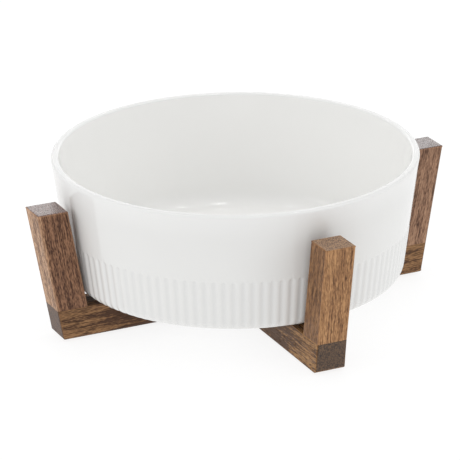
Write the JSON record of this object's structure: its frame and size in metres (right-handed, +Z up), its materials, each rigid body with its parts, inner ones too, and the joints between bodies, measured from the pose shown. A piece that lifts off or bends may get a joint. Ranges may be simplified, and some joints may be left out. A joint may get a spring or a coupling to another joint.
{
  "type": "serving bowl on wooden stand",
  "caption": "Round white glazed serving bowl with a finely fluted lower band, resting loose in a crossed brown wooden stand with outward-leaning posts.",
  "frame": {"origin": "on the table, below the middle of the crossing bars; the bowl stands loose, 2.4 mm to the left of this point", "axes": "+Z up, +X along the left-right bar to its right end, +Y along the front-back bar to its back end"},
  "size_m": [0.3162, 0.3162, 0.116],
  "materials": {
    "white_glaze": "glossy white glaze",
    "stand_wood": "oiled satin, straight grain along each piece",
    "dowel_wood": "plain turned beech",
    "pad_rubber": "matt",
    "screw_steel": "plain zinc-plated"
  },
  "bodies": {
    "stand": {"left_right_bar": "stand_wood", "front_back_bar": "stand_wood", "right_post": "stand_wood", "right_post_dowel_1": "dowel_wood", "right_post_dowel_2": "dowel_wood", "right_foot_pad": "pad_rubber", "back_post": "stand_wood", "back_post_dowel_1": "dowel_wood", "back_post_dowel_2": "dowel_wood", "back_foot_pad": "pad_rubber", "left_post": "stand_wood", "left_post_dowel_1": "dowel_wood", "left_post_dowel_2": "dowel_wood", "left_foot_pad": "pad_rubber", "front_post": "stand_wood", "front_post_dowel_1": "dowel_wood", "front_post_dowel_2": "dowel_wood", "front_foot_pad": "pad_rubber", "lap_joint_screw": "screw_steel"},
    "bowl": {"bowl": "white_glaze"}
  },
  "joints": [
    {"name": "bowl_lift", "type": "slide", "parent": "stand", "child": "bowl", "axis": [0, 0, 1], "range_m": [0, 0.12]}
  ]
}
